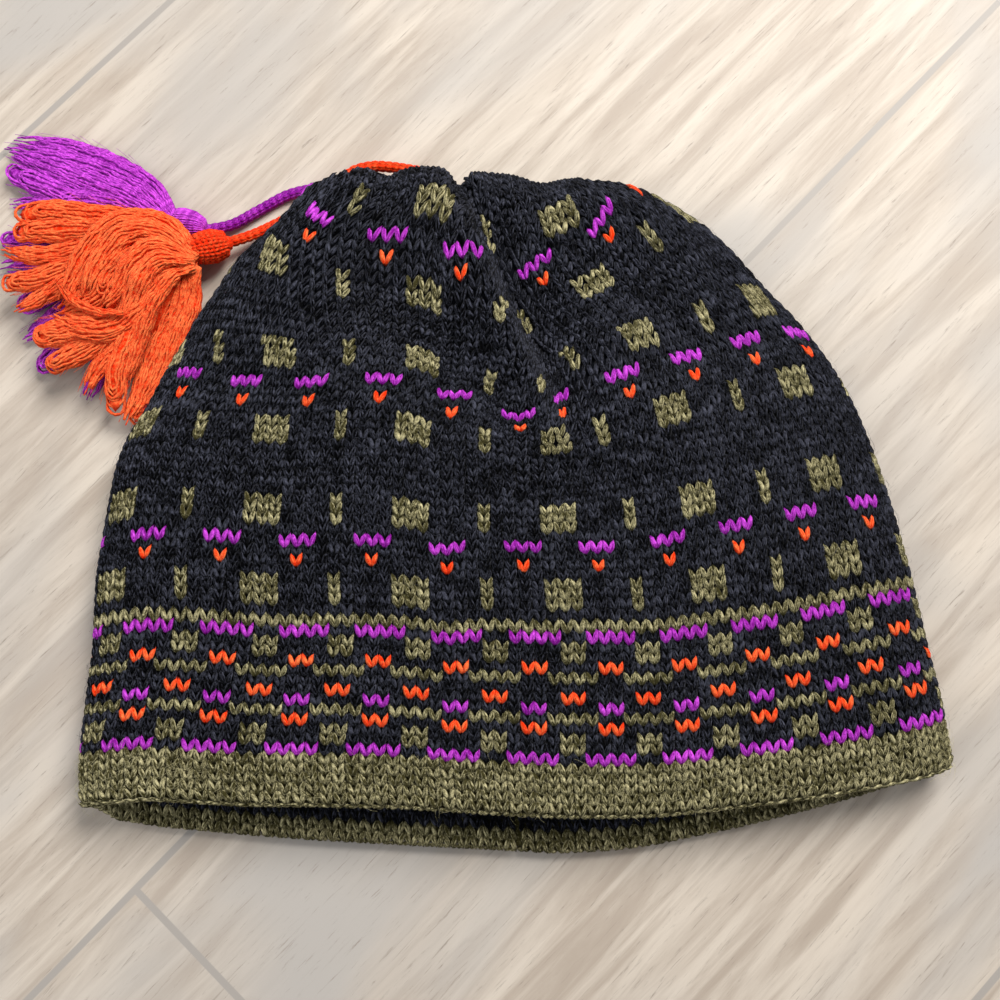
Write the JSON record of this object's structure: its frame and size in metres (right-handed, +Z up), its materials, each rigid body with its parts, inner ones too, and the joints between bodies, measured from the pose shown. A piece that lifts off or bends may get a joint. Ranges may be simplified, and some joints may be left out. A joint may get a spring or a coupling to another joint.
{
  "type": "knitted beanie",
  "caption": "Patterned knitted beanie lying flat on its back, with a turned hem, a gathered crown and cords that end in yarn tassels.",
  "frame": {"origin": "middle of the hat's box, without cords and tassels, on the surface that it lies on", "axes": "+X across the brim to the wearer's left, +Y from the brim to the crown, +Z up from the surface; the hat lies on its back with its front up"},
  "size_m": [0.2873, 0.2262, 0.0358],
  "materials": {
    "crown_yarn": "matt charcoal wool knit with olive, violet and orange stitches",
    "brim_yarn": "matt olive wool knit",
    "violet_yarn": "matt violet wool yarn",
    "orange_yarn": "matt orange wool yarn"
  },
  "bodies": {
    "root": {"crown": "crown_yarn", "brim": "brim_yarn", "violet_cord": "violet_yarn", "orange_cord": "orange_yarn", "violet_tassel": "violet_yarn", "orange_tassel": "orange_yarn"}
  },
  "joints": []
}
